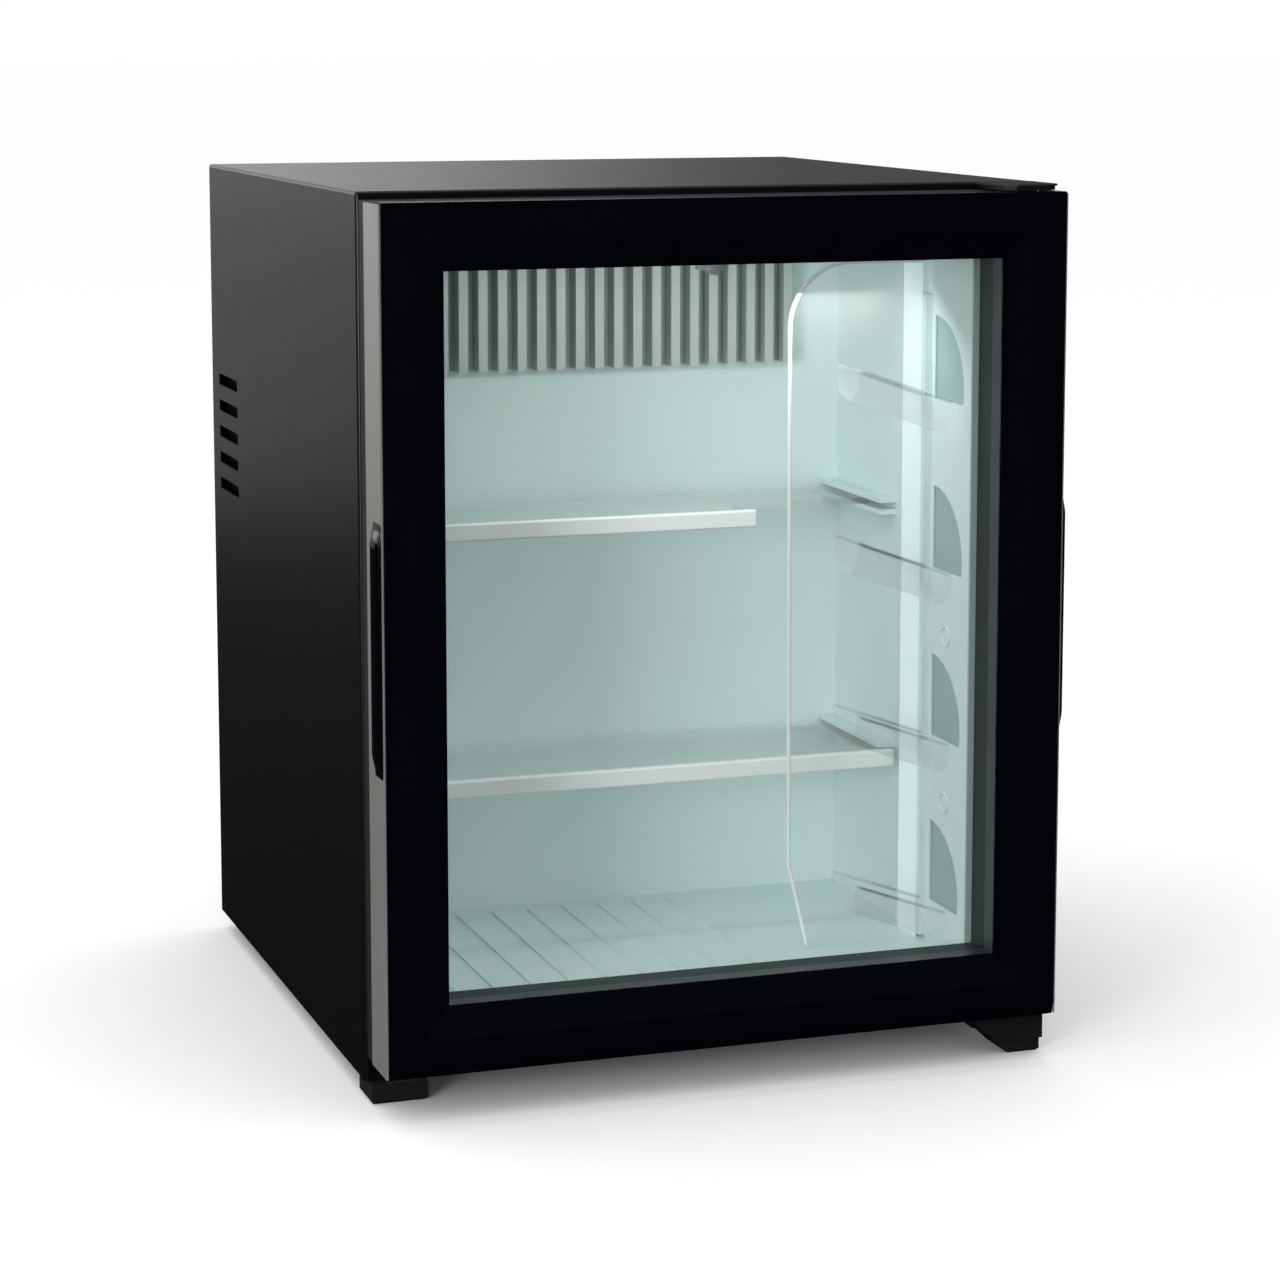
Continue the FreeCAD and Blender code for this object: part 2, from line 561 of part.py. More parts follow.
def rearCover():
    """Steel back with louvre slots over the fan and an opening for the power inlet."""
    through = ("%s - 3" % cabBack, "%s + 1" % cabBack)
    sheetPlate = span("RearSheet", both("%s - steel - 0.2" % cabSide),
                      ("%s - 1.2" % cabBack, cabBack),
                      ("footHeight + 1.7", "%s - steel - 0.2" % cabTop))
    slots = [span("RearSlot%d" % number, both("louvreHalf"), through,
                  ("%s + %d * louvrePitch - louvreHeight / 2" % (coolerZ, number),
                   "%s + %d * louvrePitch + louvreHeight / 2" % (coolerZ, number)))
             for number in range(-4, 5)]
    base = "(footHeight + boardLevel + 100)"
    low = [span("RearLowSlot%d" % number, ("boardLeft - 60", "boardRight - 10"), through,
                ("%s + %d * louvrePitch" % (base, number),
                 "%s + %d * louvrePitch + louvreHeight" % (base, number)))
           for number in range(4)]
    inlet = span("RearInletHole", ("-inletLeft - inletWidth - 0.2", "-inletLeft + 0.2"), through,
                 ("footHeight + inletLevel - 0.2", "footHeight + inletLevel + inletHeight + 0.2"))
    return node("rear_cover", cut("RearCover", sheetPlate, slots + low + [inlet]))


def powerInlet():
    """Three-pin appliance inlet; its supply cord unplugs and isn't part of the object."""
    left, right = "(-inletLeft - inletWidth)", "(-inletLeft)"
    low, high = "(footHeight + inletLevel)", "(footHeight + inletLevel + inletHeight)"
    block = span("InletBlock", (left, right), ("%s - inletDepth" % cabBack, cabBack), (low, high))
    well = span("InletWell", ("%s + inletWall" % left, "%s - inletWall" % right),
                ("%s - 18" % cabBack, "%s + 1" % cabBack),
                ("%s + inletWall" % low, "%s - inletWall" % high))
    pins = [span("InletPin%d" % number,
                 ("%s + %d - 1" % (left, across), "%s + %d + 1" % (left, across)),
                 ("%s - 19" % cabBack, "%s - 3" % cabBack),
                 ("%s + %d - 2.5" % (low, up), "%s + %d + 2.5" % (low, up)))
            for number, (across, up) in enumerate(((10, 12), (17, 16), (24, 12)))]
    return node("power_inlet", fuse("PowerInlet", [cut("InletShell", block, [well])] + pins))


# Feet and hinges
def feet():
    """A square pad at the front left, a tapered one below the hinge, round ones at the rear."""
    def ground(edge):
        return abs(edge.BoundBox.ZMax) < 1e-4

    square = span("FrontFootLeft", ("-%s + 2" % cabSide, "-%s + 2 + footSize" % cabSide),
                  ("%s - 8" % cabFront, "%s - 8 + footDepth" % cabFront), ("0", "footHeight"))
    tapered = padded("FrontFootRight", "XZ_Plane",
                     [("%s - noseFoot" % cabSide, "0"), ("%s - 3" % cabSide, "0"),
                      ("%s - 3" % cabSide, "footHeight - plateThick"),
                      ("%s - footSize" % cabSide, "footHeight - plateThick")],
                     "footDepth", ("0", "%s - 6" % cabFront, "0"))
    for side, block in (("left", square), ("right", tapered)):
        node("foot_front_" + side, eased("FootRounded" + side, block, sizes["footBevel"], ground,
                                         "Part::Chamfer"))
        pad = cylinder("RearFoot" + side,
                       (("-" if side == "left" else "") + "(%s - footInset)" % cabSide,
                        "%s - footInset" % cabBack, "0"), "padRadius", "footHeight")
        node("foot_rear_" + side, eased("RearFootRounded" + side, pad, sizes["footBevel"], ground,
                                        "Part::Chamfer"))


def lowerHinge():
    """Bracket under the cabinet whose nose reaches forward below the door."""
    xs = ("%s - 36" % cabSide, "%s - 2" % cabSide)
    low = "(footHeight - plateThick)"
    plate = span("LowerPlate", xs, ("%s - 10" % cabFront, "%s + 60" % cabFront), (low, "footHeight"))
    nose = padded("LowerNose", "XZ_Plane",
                  [("%s - footSize" % cabSide, low), ("%s - 3" % cabSide, low),
                   ("%s - 3" % cabSide, "%s + blockHeight" % low),
                   ("%s - noseTop" % cabSide, "%s + blockHeight" % low)],
                  "noseReach", ("0", "%s - 0.5" % cabFront, "0"))
    pinHole = cylinder("LowerPinHole", (hingeX, hingeY, "%s - 1" % low), "pinRadius", "30")
    screwAt = [("%s - 28" % cabSide, "%s + 50" % cabFront),
               ("%s - 12" % cabSide, "%s + 50" % cabFront)]
    holes = [cylinder("LowerScrewHole%d" % number, (x, y, "%s - 1" % low), "screwRadius", "8")
             for number, (x, y) in enumerate(screwAt)]
    node("lower_hinge_bracket", cut("LowerBracket", fuse("LowerBlank", [plate, nose]),
                                    [pinHole] + holes))
    node("lower_hinge_pin", cylinder("LowerPin", (hingeX, hingeY, low), "pinRadius",
                                     "blockHeight + 0.8 + bushLength"))
    screws = []
    for number, (x, y) in enumerate(screwAt):
        head = cylinder("LowerScrewHead%d" % number, (x, y, "%s - headHeight" % low),
                        "headRadius", "headHeight")
        shank = cylinder("LowerScrewShank%d" % number, (x, y, low), "screwRadius", "plateThick")
        screws.append(fuse("LowerScrew%d" % number, [head, shank]))
    pair = doc.addObject("Part::Compound", "LowerScrews")
    pair.Links = screws
    node("lower_hinge_screws", pair)


def upperHinge():
    """Flat plate from under the roof sheet, its pin and the cap that hides it."""
    low = "(%s - steel - 0.2 - plateThick)" % cabTop
    plate = span("UpperSheet", ("%s - 36" % cabSide, "%s - 2" % cabSide),
                 ("%s - 16" % hingeY, "%s + 50" % cabFront), (low, "%s + plateThick" % low))
    doc.recompute()
    front = value("%s - 16" % hingeY)
    plate = eased("UpperSheetEased", plate, 6,
                  lambda e: flatTo(e, "Y", front) and e.Length < 4, "Part::Chamfer")
    hole = cylinder("UpperPinHole", (hingeX, hingeY, "%s - 1" % low), "pinRadius", "8")
    node("upper_hinge_bracket", cut("UpperBracket", plate, [hole]))
    node("upper_hinge_pin", cylinder("UpperPin", (hingeX, hingeY, "%s - 0.8 - bushLength" % low),
                                     "pinRadius", "bushLength + 0.8 + plateThick"))
    cap = span("CapSheet", ("%s - 38" % cabSide, "%s - 0.5" % cabSide),
               ("%s - 18" % hingeY, "%s - 0.3" % cabFront), ("%s + plateThick" % low, cabTop))
    doc.recompute()
    front = value("%s - 18" % hingeY)
    node("upper_hinge_cap", eased("CapEased", cap, 8,
                                  lambda e: flatTo(e, "Y", front) and e.Length < 3, "Part::Chamfer"))


# Door
def doorFrame():
    """Glossy front bezel: dished window edge, sloping lower skirt and a rebate for the glass."""
    outer = span("BezelBlock", both("%s - trimThick - 0.1" % cabSide),
                 (doorFace, "%s + bezelDepth" % doorFace), (doorBottom, doorTop))
    window = span("BezelWindow", both(windowSide), ("%s - 1" % doorFace, "%s + 30" % doorFace),
                  (windowBottom, windowTop))
    skirt = padded("BezelSkirt", "YZ_Plane",
                   [("%s - 1" % doorFace, "%s - 1" % doorBottom),
                    ("%s + skirtDepth" % doorFace, "%s - 1" % doorBottom),
                    ("%s + skirtDepth" % doorFace, doorBottom),
                    (doorFace, "%s + skirtHeight" % doorBottom),
                    ("%s - 1" % doorFace, "%s + skirtHeight" % doorBottom)],
                   "cabWidth", ("-%s" % cabSide, "0", "0"))
    blank = cut("BezelBlank", outer, [window])
    dish = doc.addObject("Part::Wedge", "BezelDish")
    bind(dish, Xmin="-(%s + dishWidth)" % windowSide, Xmax="%s + dishWidth" % windowSide,
         Zmin="%s - dishWidth" % windowBottom, Zmax="%s + dishWidth" % windowTop,
         X2min="-" + windowSide, X2max=windowSide, Z2min=windowBottom, Z2max=windowTop,
         Ymin=doorFace, Ymax="%s + dishDepth" % doorFace)
    rebate = span("BezelRebate", both("%s + glassLap" % windowSide),
                  (glassFront, "%s + 30" % doorFace),
                  ("%s - glassLap" % windowBottom, "%s + glassLap" % windowTop))
    return node("door_bezel", cut("DoorBezel", blank, [dish, rebate, skirt]))


def glazing():
    """Two panes held apart by a hollow spacer."""
    size = ("%s + glassLap - 0.3" % windowSide, "%s - glassLap + 0.3" % windowBottom,
            "%s + glassLap - 0.3" % windowTop)
    rear = "(%s + glassThick + spacerDepth)" % glassFront
    node("outer_glass", span("OuterGlass", both(size[0]), (glassFront, "%s + glassThick" % glassFront),
                             size[1:]))
    node("inner_glass", span("InnerGlass", both(size[0]), (rear, "%s + glassThick" % rear), size[1:]))
    hole = ("%s - spacerWidth" % size[0], "%s + spacerWidth" % size[1], "%s - spacerWidth" % size[2])
    node("glass_spacer", ring("Spacer", size, hole, ("%s + glassThick" % glassFront, rear)))


def doorBackFrame():
    """Rear half of the door, which clamps the glass and carries the hinge bushes."""
    split = "(%s + bezelDepth)" % doorFace
    side = "(%s - trimThick - 0.1)" % cabSide
    block = span("BackBlock", both(side), (split, doorBack),
                 ("%s + 0.5" % doorBottom, "%s - 0.5" % doorTop))
    deep = span("BackRebate", both("%s + glassLap" % windowSide), ("%s - 1" % split, glassRear),
                ("%s - glassLap" % windowBottom, "%s + glassLap" % windowTop))
    window = span("BackWindow", both("%s + backOpening" % windowSide),
                  ("%s - 1" % split, "%s + 1" % doorBack),
                  ("%s - backOpening" % windowBottom, "%s + backOpening" % windowTop))
    bores = [cylinder("BushBore%d" % number, (hingeX, hingeY, start), "bushRadius", "bushLength + 3")
             for number, start in enumerate(("%s - 2" % doorBottom, "%s - bushLength - 1" % doorTop))]
    return node("door_back_frame", cut("DoorBackFrame", block, [deep, window] + bores))


def hingeBushes():
    for label, start in (("lower", "%s + 0.5" % doorBottom), ("upper", "%s - 0.5 - bushLength" % doorTop)):
        body = cylinder(label + "BushBody", (hingeX, hingeY, start), "bushRadius", "bushLength")
        bore = cylinder(label + "BushHole", (hingeX, hingeY, "%s - 1" % start),
                        "pinRadius + runningFit", "bushLength + 2")
        node("hinge_bush_" + label, cut(label + "Bush", body, [bore]))


def doorGasket():
    outer = ("%s - 12" % cabSide, "%s + 11" % doorBottom, "%s - 11" % doorTop)
    inner = ("%s - 28" % cabSide, "%s + 28" % doorBottom, "%s - 26" % doorTop)
    return node("door_gasket", ring("Gasket", outer, inner, (doorBack, "%s - 0.3" % cabFront)))


def sideTrims():
    """Satin strips on both sides of the door, with a finger grip at mid height."""
    middle = "((%s + %s) / 2 - gripDrop)" % (doorBottom, doorTop)
    lead = "(%s + trimSetback)" % doorFace
    for side, sign in (("left", "-"), ("right", "")):
        inner, outer = "(%s - trimThick)" % cabSide, cabSide
        limits = ("-" + outer, "-" + inner) if sign else (inner, outer)
        node("side_trim_" + side,
             span("Trim" + side, limits, (lead, "%s + trimWidth" % lead),
                  ("%s + 1" % doorBottom, "%s - 1" % doorTop)))
        skin = ("-(%s + gripRise)" % cabSide, "-" + cabSide) if sign else \
               (cabSide, "%s + gripRise" % cabSide)
        pad = span("Grip" + side, skin, (lead, "%s + gripDepth" % lead),
                   ("%s - gripLength / 2" % middle, "%s + gripLength / 2" % middle))
        doc.recompute()
        far = value("%s + gripRise" % cabSide) * (-1 if sign else 1)
        node("finger_grip_" + side, eased("GripEased" + side, pad, sizes["gripBevel"],
                                          lambda e, far=far: flatTo(e, "X", far), "Part::Chamfer"))


outerShell()
basePanel()
frontRim()
innerLiner()
insulation()
lampUnit()
shelf("lower_shelf", "lowerShelfLevel", False)
shelf("upper_shelf", "upperShelfLevel", True)
bottleRack()
coldPlate()
coldStack()
hotSink()
fanFrame()
fanRotor()
fanGuard()
controlBoard()
rearCover()
powerInlet()
feet()
lowerHinge()
upperHinge()
doorFrame()
glazing()
doorBackFrame()
hingeBushes()
doorGasket()
sideTrims()
doc.recompute()

broken = [item.Name for item in doc.Objects if {"Invalid", "Error"} & set(item.State)]
if broken:
    raise SystemExit("failed objects: " + ", ".join(broken))
for item in nodes:
    if item.Shape.isNull() or not item.Shape.isValid():
        raise SystemExit("bad shape: " + item.Label)

os.makedirs("parts", exist_ok=True)
for item in nodes:
    item.Shape.exportStep("parts/%s.step" % item.Label)
    limits = item.Shape.BoundBox
    print("%-24s %8.1f cm3 %d solids  x %7.1f %7.1f  y %7.1f %7.1f  z %7.1f %7.1f" % (
        item.Label, item.Shape.Volume / 1000, len(item.Shape.Solids), limits.XMin, limits.XMax,
        limits.YMin, limits.YMax, limits.ZMin, limits.ZMax))
print(len(nodes), "sub-parts")
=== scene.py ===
import json
import math
import bpy
import numpy as np
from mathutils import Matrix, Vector


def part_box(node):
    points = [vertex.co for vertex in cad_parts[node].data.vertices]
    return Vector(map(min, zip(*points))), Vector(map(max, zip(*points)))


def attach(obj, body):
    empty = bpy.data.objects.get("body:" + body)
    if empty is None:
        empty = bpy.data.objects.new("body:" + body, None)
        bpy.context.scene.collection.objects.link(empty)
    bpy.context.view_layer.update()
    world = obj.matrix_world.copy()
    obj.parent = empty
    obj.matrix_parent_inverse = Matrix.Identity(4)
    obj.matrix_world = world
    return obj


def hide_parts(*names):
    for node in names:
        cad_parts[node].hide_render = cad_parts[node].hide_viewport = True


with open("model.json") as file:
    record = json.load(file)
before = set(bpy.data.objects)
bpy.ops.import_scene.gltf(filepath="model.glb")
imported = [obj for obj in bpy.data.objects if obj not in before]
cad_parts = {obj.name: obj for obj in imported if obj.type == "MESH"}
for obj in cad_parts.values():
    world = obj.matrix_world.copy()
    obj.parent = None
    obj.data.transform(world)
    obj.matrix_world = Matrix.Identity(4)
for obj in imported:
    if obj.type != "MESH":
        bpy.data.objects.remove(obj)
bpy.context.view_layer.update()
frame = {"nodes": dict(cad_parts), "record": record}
nodes = frame["nodes"]
print("frame ready with", len(nodes), "nodes")


# shader sums
def join(tree, slot, value):
    if isinstance(value, Wire):
        tree.links.new(value.socket, slot)
    elif slot.type == "RGBA":
        slot.default_value = (*value[:3], 1.0)
    else:
        slot.default_value = value


class Wire:
    # one shader socket that takes part in sums
    def __init__(self, tree, socket):
        self.tree = tree
        self.socket = socket

    def sum(self, operation, *values):
        item = self.tree.nodes.new("ShaderNodeMath")
        item.operation = operation
        for slot, value in zip(item.inputs, values):
            join(self.tree, slot, value)
        return Wire(self.tree, item.outputs[0])

    def __add__(self, other):
        return self.sum("ADD", self, other)

    def __sub__(self, other):
        return self.sum("SUBTRACT", self, other)

    def __rsub__(self, other):
        return self.sum("SUBTRACT", other, self)

    def __mul__(self, other):
        return self.sum("MULTIPLY", self, other)

    def __truediv__(self, other):
        return self.sum("DIVIDE", self, other)

    __radd__ = __add__
    __rmul__ = __mul__

    def size(self):
        return self.sum("ABSOLUTE", self)

    def wave(self, pitch):
        # a sine of the given pitch, from 0 to 1
        return self.sum("SINE", self * (2 * math.pi / pitch)) * 0.5 + 0.5

    def ramp(self, start, end):
        # 0 before start, 1 after end, smooth between
        item = self.tree.nodes.new("ShaderNodeMapRange")
        item.interpolation_type = "SMOOTHSTEP"
        for slot, value in zip(item.inputs, (self, start, end, 0.0, 1.0)):
            join(self.tree, slot, value)
        return Wire(self.tree, item.outputs[0])


class Paint:
    # one material, built node by node
    def __init__(self, name):
        self.material = bpy.data.materials.new(name)
        self.material.use_nodes = True
        self.tree = self.material.node_tree
        self.tree.nodes.clear()

    def node(self, kind, settings=None, values=None, output=0):
        item = self.tree.nodes.new("ShaderNode" + kind)
        for name, setting in (settings or {}).items():
            setattr(item, name, setting)
        for name, value in (values or {}).items():
            join(self.tree, item.inputs[name], value)
        return Wire(self.tree, item.outputs[output]) if len(item.outputs) else None

    def spot(self):
        return self.node("TexCoord", output="Object")

    def axis(self, letter):
        return self.node("SeparateXYZ", None, {"Vector": self.spot()}, letter)

    def noise(self, scale, detail=3.0, stretch=(1.0, 1.0, 1.0)):
        place = self.node("Mapping", None, {"Vector": self.spot(), "Scale": stretch})
        return self.node("TexNoise", None, {"Vector": place, "Scale": scale, "Detail": detail})

    def blend(self, share, first, second):
        return self.node("Mix", {"data_type": "RGBA"}, {0: share, 6: first, 7: second}, 2)

    def bump(self, height, strength, depth):
        return self.node("Bump", None, {"Height": height, "Strength": strength, "Distance": depth})

    def finish(self, values):
        shader = self.node("BsdfPrincipled", None, values)
        self.node("OutputMaterial", None, {"Surface": shader})
        return self.material


def tone(red, green, blue):
    # display values of 0 to 255 as linear light
    return tuple((v / 255 / 12.92) if v < 10.3 else ((v / 255 + 0.055) / 1.055) ** 2.4
                 for v in (red, green, blue))


def scaled(colour, share):
    return tuple(v * share for v in colour)


# materials
def enamel(name, colour, rough=0.36, ripple=0.05, shine=0.35):
    # sprayed paint: fine orange peel, faint cloudiness, dust in the gloss
    p = Paint(name)
    cloud = p.noise(9.0, 4.0)
    peel = p.noise(900.0, 2.0)
    return p.finish({
        "Base Color": p.blend(cloud, scaled(colour, 0.86), scaled(colour, 1.14)),
        "Roughness": p.noise(30.0, 5.0) * 0.05 + (rough - 0.02),
        "Specular IOR Level": shine,
        "Normal": p.bump(peel, ripple, 0.0006)})


def moulded(name, colour, rough, grain=700.0, depth=0.0003, strength=0.12, shine=0.5):
    # injection-moulded plastic with a spark-eroded grain
    p = Paint(name)
    speck = p.noise(grain, 2.0)
    return p.finish({
        "Base Color": p.blend(p.noise(14.0, 3.0), scaled(colour, 0.93), scaled(colour, 1.05)),
        "Roughness": p.noise(60.0, 4.0) * 0.14 + (rough - 0.07),
        "Specular IOR Level": shine,
        "Normal": p.bump(speck, strength, depth)})


def linerPlastic(name, recessFrom):
    # gloss tub; the shallow hand recesses in the right wall get painted shade: a greyer tint
    p = Paint(name)
    colour = tone(222, 240, 237)
    base = p.blend(p.noise(7.0, 2.0), scaled(colour, 0.97), colour)
    # painted shade: a greyer tint on faces set back into the recesses
    recessShade = p.axis("X").ramp(recessFrom + 0.0006, recessFrom + 0.0011)
    return p.finish({
        "Base Color": p.blend(recessShade, base, tone(160, 186, 181)),
        "Roughness": p.noise(40.0, 3.0) * 0.04 + 0.3,
        "Normal": p.bump(p.noise(260.0, 2.0), 0.04, 0.0003)})


def pianoBlack(name):
    # polished black with dust-fine pits and a slow ripple from the mould
    p = Paint(name)
    flow = p.noise(5.0, 2.0)
    return p.finish({
        "Base Color": p.blend(p.noise(22.0, 4.0), tone(1, 3, 9), tone(4, 6, 12)),
        "Roughness": p.noise(120.0, 5.0) * 0.08 + 0.1,
        "Specular IOR Level": 0.2,
        "Normal": p.bump(flow, 0.04, 0.002)})


def brushed(name, colour, rough, stretch, metallic=1.0, scale=900.0):
    # metal drawn one way: long fine scratches in colour, gloss and height
    p = Paint(name)
    lines = p.noise(scale, 4.0, stretch)
    wide = p.noise(scale / 7, 2.0, stretch)
    shade = lines * 0.6 + wide * 0.4
    return p.finish({
        "Base Color": p.blend(shade, scaled(colour, 0.78), scaled(colour, 1.16)),
        "Metallic": metallic,
        "Roughness": lines * 0.16 + (rough - 0.08),
        "Normal": p.bump(lines, 0.12, 0.0002)})


def finned(name, colour, front):
    # drawn aluminium, bright on the fronts of the fins, with painted shade in the gaps: darker further
    # back than the fronts
    p = Paint(name)
    lines = p.noise(900.0, 4.0, (1.0, 1.0, 0.02))
    # painted shade: the base colour darkens just behind the fins' front faces
    gapShade = p.axis("Y").ramp(front + 0.0005, front + 0.0045)
    return p.finish({
        "Base Color": p.blend(gapShade, p.blend(lines, scaled(colour, 0.85), colour), scaled(colour, 0.8)),
        "Metallic": 0.35,
        "Roughness": lines * 0.16 + 0.4,
        "Normal": p.bump(lines, 0.12, 0.0002)})


def rubbery(name, colour):
    p = Paint(name)
    return p.finish({
        "Base Color": p.blend(p.noise(50.0, 4.0), scaled(colour, 0.8), scaled(colour, 1.3)),
        "Roughness": p.noise(90.0, 3.0) * 0.15 + 0.62,
        "Specular IOR Level": 0.3,
        "Normal": p.bump(p.noise(1300.0, 2.0), 0.25, 0.0004)})


def clearPlastic(name, colour, seeThrough, edge, glintFrom=1.0):
    # thin clear moulding: nearly open face-on, milkier where seen edge-on; a flange further back than
    # the
    # given depth gets a painted glint: it is made more opaque and glows faintly, standing in for a
    # bright highlight
    p = Paint(name)
    facing = p.node("LayerWeight", None, {"Blend": 0.35}, "Facing")
    # painted glint: mask for the flange further back than the given depth
    paintedGlint = p.axis("Y").ramp(glintFrom, glintFrom + 0.004)
    # the glint mask raises the alpha and drives a faint glow, both painted highlight
    return p.finish({
        "Base Color": p.blend(p.noise(12.0, 2.0), scaled(colour, 0.94), colour),
        "Roughness": p.noise(35.0, 3.0) * 0.08 + 0.06,
        "Alpha": facing * (edge - seeThrough) + seeThrough + paintedGlint * 0.55,
        "Emission Color": p.blend(paintedGlint, (0.0, 0.0, 0.0), tone(206, 228, 228)),
        "Emission Strength": 0.5,
        "Normal": p.bump(p.noise(40.0, 2.0), 0.05, 0.001)})


def glazing(name, colour, cover):
    # float glass with the faintest waviness and smears in its gloss
    p = Paint(name)
    return p.finish({
        "Base Color": p.blend(p.noise(3.0, 1.0), scaled(colour, 0.96), colour),
        "Roughness": p.noise(6.0, 5.0) * 0.04 + 0.02,
        "Alpha": cover,
        "Normal": p.bump(p.noise(2.5, 1.0), 0.02, 0.003)})


def boardGreen(name):
    # solder mask with copper tracks showing through as a lighter grid
    p = Paint(name)
    tracks = p.axis("X").wave(0.0042).ramp(0.72, 0.8) * p.noise(90.0, 1.0).ramp(0.48, 0.52)
    return p.finish({
        "Base Color": p.blend(tracks, tone(16, 74, 40), tone(44, 122, 66)),
        "Roughness": 0.38,
        "Normal": p.bump(tracks, 0.3, 0.0003)})


def foamed(name):
    # graphite-grey beads, dark enough to read as shadow behind the vent slots
    p = Paint(name)
    cells = p.node("TexVoronoi", None, {"Vector": p.spot(), "Scale": 420.0})
    return p.finish({
        "Base Color": p.blend(p.noise(18.0, 4.0), tone(44, 45, 47), tone(58, 60, 62)),
        "Roughness": 0.9,
        "Normal": p.bump(cells, 0.4, 0.0015)})


def glowing(name, colour, strength):
    p = Paint(name)
    prism = p.axis("X").wave(0.003)
    return p.finish({
        "Base Color": p.blend(prism, scaled(colour, 0.9), colour),
        "Roughness": 0.35,
        "Emission Color": colour,
        "Emission Strength": strength,
        "Normal": p.bump(prism, 0.3, 0.0004)})


def galvanised(name):
    # zinc spangle: large flat crystals of slightly different grey
    p = Paint(name)
    spangle = p.node("TexVoronoi", None, {"Vector": p.spot(), "Scale": 85.0}, "Color")
    grey = p.node("RGBToBW", None, {"Color": spangle})
    return p.finish({
        "Base Color": p.blend(grey, tone(138, 142, 144), tone(182, 186, 188)),
        "Metallic": 0.9,
        "Roughness": grey * 0.18 + 0.32,
        "Normal": p.bump(grey, 0.05, 0.0004)})


upright = (1.0, 1.0, 0.02)
finishes = {
    "shell_paint": enamel("cabinetEnamel", tone(7, 7, 6), 0.32),
    "rear_steel": enamel("rearEnamel", tone(70, 72, 72), 0.5),
    "bracket_black": enamel("bracketPowder", tone(22, 22, 22), 0.5, 0.2),
    "liner_white": linerPlastic("linerGloss", 0.172),
    "lip_white": moulded("lipGloss", tone(244, 250, 248), 0.24, 500.0, 0.0002, 0.05),
    "foam": foamed("rigidFoam"),
    "clear_plastic": clearPlastic("clearMoulding", tone(236, 246, 244), 0.06, 0.4),
    "door_black": pianoBlack("doorGlossBlack"),
    "satin_silver": brushed("satinSilver", tone(182, 183, 178), 0.4, upright, 0.6),
    "window_glass": glazing("windowGlass", tone(70, 92, 90), 0.06),
    "spacer_grey": moulded("spacerGrey", tone(44, 48, 48), 0.42),
    "gasket_rubber": rubbery("gasketRubber", tone(30, 30, 30)),
    "pin_steel": brushed("brightSteel", tone(205, 205, 205), 0.22, (1.0, 1.0, 0.2)),
    "screw_steel": brushed("zincSteel", tone(170, 172, 168), 0.35, (1.0, 1.0, 0.3)),
    "fin_aluminium": brushed("finAluminium", tone(214, 216, 212), 0.36, upright, 0.85),
    "black_plastic": moulded("texturedBlack", tone(24, 24, 25), 0.55, 900.0, 0.0004, 0.3),
    "foot_rubber": rubbery("footRubber", tone(20, 20, 20)),
    "board_green": boardGreen("circuitBoard"),
    "module_ceramic": moulded("moduleCeramic", tone(232, 230, 222), 0.6),
    "base_steel": galvanised("baseZinc"),
    "lamp_diffuser": glowing("lampDiffuser", tone(246, 252, 248), 0.3),
    "dial_grey": moulded("dialGrey", tone(178, 180, 180), 0.4),
}
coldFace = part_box("cold_plate")[0].y
coldPaint = finned("coldFins", tone(204, 211, 206), coldFace)
# from this depth back, the rack's flange gets a painted glint: extra opacity and a faint glow
rackPaint = clearPlastic("clearRack", tone(240, 248, 246), 0.05, 0.24,
                         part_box("outer_shell")[0].y + 0.0575)
slotOf = {row["node"]: row["material_slot"] for row in frame["record"]["subparts"]}
for name, item in nodes.items():
    item.data.materials.clear()
    item.data.materials.append(coldPaint if name == "cold_plate" else finishes[slotOf[name]])
print("materials ready:", len(finishes))


# surfaces from arrays
def solid(name, rings, slot, body, closed=False, smooth=True):
    # rings is a grid of points (stations, points round the section, 3): quads join each section to
    # the next; the ends get flat caps, or the last section joins the first when closed
    rings = np.asarray(rings, float)
    stations, around = rings.shape[:2]
    count = stations if closed else stations - 1
    i, j = np.meshgrid(np.arange(count), np.arange(around), indexing="ij")
    ahead, beside = (i + 1) % stations, (j + 1) % around
    quads = np.stack([i * around + j, i * around + beside, ahead * around + beside,
                      ahead * around + j], -1).reshape(-1, 4)
    faces = quads.tolist()
    if not closed:
        faces.append(list(range(around))[::-1])
        faces.append([(stations - 1) * around + k for k in range(around)])
    mesh = bpy.data.meshes.new(name)
    mesh.from_pydata(rings.reshape(-1, 3).tolist(), [], faces)
    mesh.validate()
    mesh.polygons.foreach_set("use_smooth", np.full(len(mesh.polygons), smooth))
    outward(mesh)
    item = bpy.data.objects.new(name, mesh)
    bpy.context.scene.collection.objects.link(item)
    mesh.materials.append(finishes[slot])
    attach(item, body)
    return item


def skin(name, grids, paint, body):
    # a thin wall kept to one surface: each grid is rows of points joined by quads
    points, faces = [], []
    for grid in grids:
        grid = np.asarray(grid, float)
        rows, across = grid.shape[:2]
        i, j = np.meshgrid(np.arange(rows - 1), np.arange(across - 1), indexing="ij")
        start = len(points) + i * across + j
        quads = np.stack([start, start + 1, start + across + 1, start + across], -1)
        faces += quads.reshape(-1, 4).tolist()
        points += grid.reshape(-1, 3).tolist()
    mesh = bpy.data.meshes.new(name)
    mesh.from_pydata(points, [], faces)
    mesh.validate()
    mesh.polygons.foreach_set("use_smooth", np.full(len(mesh.polygons), True))
    mesh.set_sharp_from_angle(angle=math.radians(40))
    item = bpy.data.objects.new(name, mesh)
    bpy.context.scene.collection.objects.link(item)
    mesh.materials.append(paint)
    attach(item, body)
    return item


